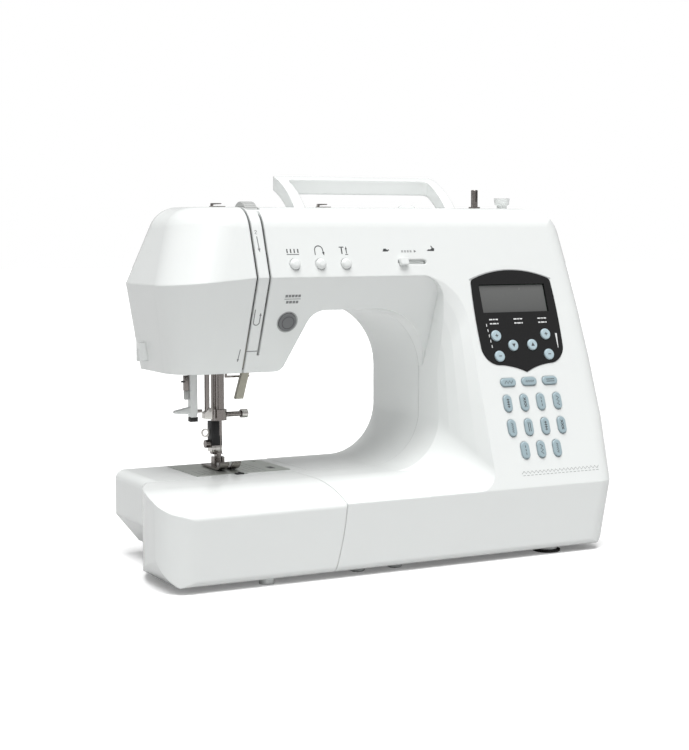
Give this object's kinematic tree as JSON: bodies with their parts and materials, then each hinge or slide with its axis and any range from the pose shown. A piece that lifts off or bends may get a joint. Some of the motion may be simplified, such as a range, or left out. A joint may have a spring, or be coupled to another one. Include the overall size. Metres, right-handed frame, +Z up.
{
  "type": "sewing machine",
  "caption": "Computerised free-arm sewing machine with a flat accessory bed, front keypad and display, folding carry handle and working stitch mechanism.",
  "frame": {"origin": "centre of the footprint, on the surface the machine stands on", "axes": "+X along the bed towards the handwheel, +Y towards the back, +Z up"},
  "size_m": [0.422, 0.176, 0.315],
  "materials": {
    "white_plastic": "smooth glossy ABS",
    "black_shield": "glossy black with printed marks",
    "pale_blue_key": "satin keys",
    "blue_grey_key": "satin keys",
    "grey_button": "satin",
    "black_rubber": "moulded rubber",
    "bright_steel": "ground and polished",
    "satin_steel": "brushed",
    "cast_frame": "sand cast",
    "motor_can": "satin paint",
    "circuit_board": "solder mask",
    "black_plastic": "satin",
    "grey_plastic": "satin",
    "beige_plastic": "satin"
  },
  "bodies": {
    "body": {"base_tray": "grey_plastic", "control_bezel": "black_shield", "control_board": "circuit_board", "drive_motor": "motor_can", "face_cover": "white_plastic", "free_arm_shell": "white_plastic", "front_housing": "white_plastic", "housing_screws": "bright_steel", "machine_frame": "cast_frame", "needle_plate": "satin_steel", "power_inlet": "black_plastic", "rear_housing": "white_plastic", "rubber_feet": "black_rubber", "thread_guides": "bright_steel", "winder_stop": "white_plastic"},
    "round_key_1": {"round_key_1": "pale_blue_key"},
    "round_key_2": {"round_key_2": "pale_blue_key"},
    "round_key_3": {"round_key_3": "pale_blue_key"},
    "round_key_4": {"round_key_4": "pale_blue_key"},
    "round_key_5": {"round_key_5": "pale_blue_key"},
    "round_key_6": {"round_key_6": "pale_blue_key"},
    "stitch_key_01": {"stitch_key_01": "blue_grey_key"},
    "stitch_key_02": {"stitch_key_02": "blue_grey_key"},
    "stitch_key_03": {"stitch_key_03": "blue_grey_key"},
    "stitch_key_04": {"stitch_key_04": "blue_grey_key"},
    "stitch_key_05": {"stitch_key_05": "blue_grey_key"},
    "stitch_key_06": {"stitch_key_06": "blue_grey_key"},
    "stitch_key_07": {"stitch_key_07": "blue_grey_key"},
    "stitch_key_08": {"stitch_key_08": "blue_grey_key"},
    "stitch_key_09": {"stitch_key_09": "blue_grey_key"},
    "stitch_key_10": {"stitch_key_10": "blue_grey_key"},
    "stitch_key_11": {"stitch_key_11": "blue_grey_key"},
    "stitch_key_12": {"stitch_key_12": "blue_grey_key"},
    "stitch_key_13": {"stitch_key_13": "blue_grey_key"},
    "stitch_key_14": {"stitch_key_14": "blue_grey_key"},
    "slow_button": {"slow_button": "white_plastic"},
    "reverse_button": {"reverse_button": "white_plastic"},
    "needle_position_button": {"needle_position_button": "white_plastic"},
    "start_stop_button": {"start_stop_button": "grey_button"},
    "speed_slider": {"speed_slider": "white_plastic"},
    "accessory_box": {"accessory_box": "white_plastic"},
    "bobbin_latch": {"bobbin_latch": "black_plastic"},
    "handle": {"handle": "white_plastic"},
    "drive_shaft": {"main_shaft": "bright_steel", "handwheel": "white_plastic"},
    "lower_shaft": {"lower_shaft": "bright_steel"},
    "rotary_hook": {"rotary_hook": "bright_steel"},
    "needle_bar_carrier": {"needle_bar_carrier": "cast_frame"},
    "needle_bar": {"needle_bar": "bright_steel", "needle": "bright_steel"},
    "take_up_lever": {"take_up_lever": "bright_steel"},
    "presser_lifter": {"presser_lifter": "grey_plastic"},
    "presser_bar": {"presser_bar": "bright_steel"},
    "presser_foot": {"presser_foot": "bright_steel"},
    "needle_threader": {"needle_threader": "white_plastic"},
    "buttonhole_lever": {"buttonhole_lever": "beige_plastic"},
    "feed_dog": {"feed_dog": "bright_steel"},
    "winder_spindle": {"winder_spindle": "bright_steel"},
    "tension_dial": {"tension_dial": "grey_plastic"},
    "power_switch": {"power_switch": "black_plastic"}
  },
  "joints": [
    {"name": "round_key_1_press", "type": "slide", "parent": "body", "child": "round_key_1", "axis": [0, 0.9454, -0.326], "range_m": [0, 0.001], "stiffness_N_per_m": 300},
    {"name": "round_key_2_press", "type": "slide", "parent": "body", "child": "round_key_2", "axis": [0, 0.9454, -0.326], "range_m": [0, 0.001], "stiffness_N_per_m": 300},
    {"name": "round_key_3_press", "type": "slide", "parent": "body", "child": "round_key_3", "axis": [0, 0.9454, -0.326], "range_m": [0, 0.001], "stiffness_N_per_m": 300},
    {"name": "round_key_4_press", "type": "slide", "parent": "body", "child": "round_key_4", "axis": [0, 0.9454, -0.326], "range_m": [0, 0.001], "stiffness_N_per_m": 300},
    {"name": "round_key_5_press", "type": "slide", "parent": "body", "child": "round_key_5", "axis": [0, 0.9454, -0.326], "range_m": [0, 0.001], "stiffness_N_per_m": 300},
    {"name": "round_key_6_press", "type": "slide", "parent": "body", "child": "round_key_6", "axis": [0, 0.9454, -0.326], "range_m": [0, 0.001], "stiffness_N_per_m": 300},
    {"name": "stitch_key_01_press", "type": "slide", "parent": "body", "child": "stitch_key_01", "axis": [0, 0.9454, -0.326], "range_m": [0, 0.001], "stiffness_N_per_m": 300},
    {"name": "stitch_key_02_press", "type": "slide", "parent": "body", "child": "stitch_key_02", "axis": [0, 0.9454, -0.326], "range_m": [0, 0.001], "stiffness_N_per_m": 300},
    {"name": "stitch_key_03_press", "type": "slide", "parent": "body", "child": "stitch_key_03", "axis": [0, 0.9454, -0.326], "range_m": [0, 0.001], "stiffness_N_per_m": 300},
    {"name": "stitch_key_04_press", "type": "slide", "parent": "body", "child": "stitch_key_04", "axis": [0, 0.9454, -0.326], "range_m": [0, 0.001], "stiffness_N_per_m": 300},
    {"name": "stitch_key_05_press", "type": "slide", "parent": "body", "child": "stitch_key_05", "axis": [0, 0.9454, -0.326], "range_m": [0, 0.001], "stiffness_N_per_m": 300},
    {"name": "stitch_key_06_press", "type": "slide", "parent": "body", "child": "stitch_key_06", "axis": [0, 0.9454, -0.326], "range_m": [0, 0.001], "stiffness_N_per_m": 300},
    {"name": "stitch_key_07_press", "type": "slide", "parent": "body", "child": "stitch_key_07", "axis": [0, 0.9454, -0.326], "range_m": [0, 0.001], "stiffness_N_per_m": 300},
    {"name": "stitch_key_08_press", "type": "slide", "parent": "body", "child": "stitch_key_08", "axis": [0, 0.9454, -0.326], "range_m": [0, 0.001], "stiffness_N_per_m": 300},
    {"name": "stitch_key_09_press", "type": "slide", "parent": "body", "child": "stitch_key_09", "axis": [0, 0.9454, -0.326], "range_m": [0, 0.001], "stiffness_N_per_m": 300},
    {"name": "stitch_key_10_press", "type": "slide", "parent": "body", "child": "stitch_key_10", "axis": [0, 0.9454, -0.326], "range_m": [0, 0.001], "stiffness_N_per_m": 300},
    {"name": "stitch_key_11_press", "type": "slide", "parent": "body", "child": "stitch_key_11", "axis": [0, 0.9454, -0.326], "range_m": [0, 0.001], "stiffness_N_per_m": 300},
    {"name": "stitch_key_12_press", "type": "slide", "parent": "body", "child": "stitch_key_12", "axis": [0, 0.9454, -0.326], "range_m": [0, 0.001], "stiffness_N_per_m": 300},
    {"name": "stitch_key_13_press", "type": "slide", "parent": "body", "child": "stitch_key_13", "axis": [0, 0.9454, -0.326], "range_m": [0, 0.001], "stiffness_N_per_m": 300},
    {"name": "stitch_key_14_press", "type": "slide", "parent": "body", "child": "stitch_key_14", "axis": [0, 0.9454, -0.326], "range_m": [0, 0.001], "stiffness_N_per_m": 300},
    {"name": "slow_button_press", "type": "slide", "parent": "body", "child": "slow_button", "axis": [0, 0.9454, -0.326], "range_m": [0, 0.0012], "stiffness_N_per_m": 300},
    {"name": "reverse_button_press", "type": "slide", "parent": "body", "child": "reverse_button", "axis": [0, 0.9454, -0.326], "range_m": [0, 0.0012], "stiffness_N_per_m": 300},
    {"name": "needle_position_button_press", "type": "slide", "parent": "body", "child": "needle_position_button", "axis": [0, 0.9454, -0.326], "range_m": [0, 0.0012], "stiffness_N_per_m": 300},
    {"name": "start_stop_press", "type": "slide", "parent": "body", "child": "start_stop_button", "axis": [0, 0.9318, 0.363], "range_m": [0, 0.0015], "stiffness_N_per_m": 300},
    {"name": "speed_slide", "type": "slide", "parent": "body", "child": "speed_slider", "axis": [1, 0, 0], "range_m": [0, 0.017]},
    {"name": "accessory_box_slide", "type": "slide", "parent": "body", "child": "accessory_box", "axis": [-1, 0, 0], "range_m": [0, 0.16]},
    {"name": "bobbin_latch_slide", "type": "slide", "parent": "body", "child": "bobbin_latch", "axis": [1, 0, 0], "range_m": [0, 0.0035]},
    {"name": "handle_fold", "type": "hinge", "parent": "body", "child": "handle", "pos_m": [0.029, 0.02, 0.279], "axis": [1, 0, 0], "range_deg": [-12, 50]},
    {"name": "handwheel_turn", "type": "hinge", "parent": "body", "child": "drive_shaft", "pos_m": [0, 0.04, 0.236], "axis": [1, 0, 0], "continuous": true},
    {"name": "lower_shaft_turn", "type": "hinge", "parent": "body", "child": "lower_shaft", "pos_m": [0, 0.044, 0.028], "axis": [1, 0, 0], "continuous": true},
    {"name": "hook_turn", "type": "hinge", "parent": "body", "child": "rotary_hook", "pos_m": [-0.1065, 0.0325, 0.047], "axis": [0, 0, 1], "continuous": true},
    {"name": "zigzag_swing", "type": "hinge", "parent": "body", "child": "needle_bar_carrier", "pos_m": [-0.1155, 0.074, 0.264], "axis": [0, 1, 0], "range_deg": [-1, 1]},
    {"name": "needle_stroke", "type": "slide", "parent": "needle_bar_carrier", "child": "needle_bar", "axis": [0, 0, 1], "range_m": [-0.024, 0.006]},
    {"name": "take_up_swing", "type": "hinge", "parent": "body", "child": "take_up_lever", "pos_m": [-0.121, 0.03, 0.225], "axis": [1, 0, 0], "range_deg": [-9, 36]},
    {"name": "presser_lifter_turn", "type": "hinge", "parent": "body", "child": "presser_lifter", "pos_m": [-0.093, 0.073, 0.176], "axis": [1, 0, 0], "range_deg": [0, 35]},
    {"name": "presser_lift", "type": "slide", "parent": "body", "child": "presser_bar", "axis": [0, 0, 1], "range_m": [0, 0.005]},
    {"name": "presser_foot_tilt", "type": "hinge", "parent": "presser_bar", "child": "presser_foot", "pos_m": [-0.1065, 0.056, 0.0782], "axis": [1, 0, 0], "range_deg": [-2, 1], "stiffness_Nm_per_rad": 0.02},
    {"name": "threader_slide", "type": "slide", "parent": "body", "child": "needle_threader", "axis": [0, 0, 1], "range_m": [-0.022, 0], "stiffness_N_per_m": 40},
    {"name": "buttonhole_lever_slide", "type": "slide", "parent": "body", "child": "buttonhole_lever", "axis": [0, 0, 1], "range_m": [-0.007, 0]},
    {"name": "feed_stroke", "type": "slide", "parent": "body", "child": "feed_dog", "axis": [0, 1, 0], "range_m": [-0.002, 0.002]},
    {"name": "winder_spin", "type": "hinge", "parent": "body", "child": "winder_spindle", "pos_m": [0.134, 0.037, 0.288], "axis": [0, 0, 1], "continuous": true},
    {"name": "tension_dial_turn", "type": "hinge", "parent": "body", "child": "tension_dial", "pos_m": [-0.1, 0.013, 0.279], "axis": [1, 0, 0], "range_deg": [-140, 140]},
    {"name": "power_switch_rock", "type": "hinge", "parent": "body", "child": "power_switch", "pos_m": [0.1952, 0.056, 0.069], "axis": [0, 1, 0], "range_deg": [-6, 6]}
  ],
  "couplings": [
    {"joint": "lower_shaft_turn", "follows": "handwheel_turn", "ratio": 1},
    {"joint": "hook_turn", "follows": "handwheel_turn", "ratio": 2},
    {"joint": "take_up_swing", "follows": "needle_stroke", "rad_per_m": -25.5},
    {"joint": "presser_lifter_turn", "follows": "presser_lift", "rad_per_m": 122}
  ]
}
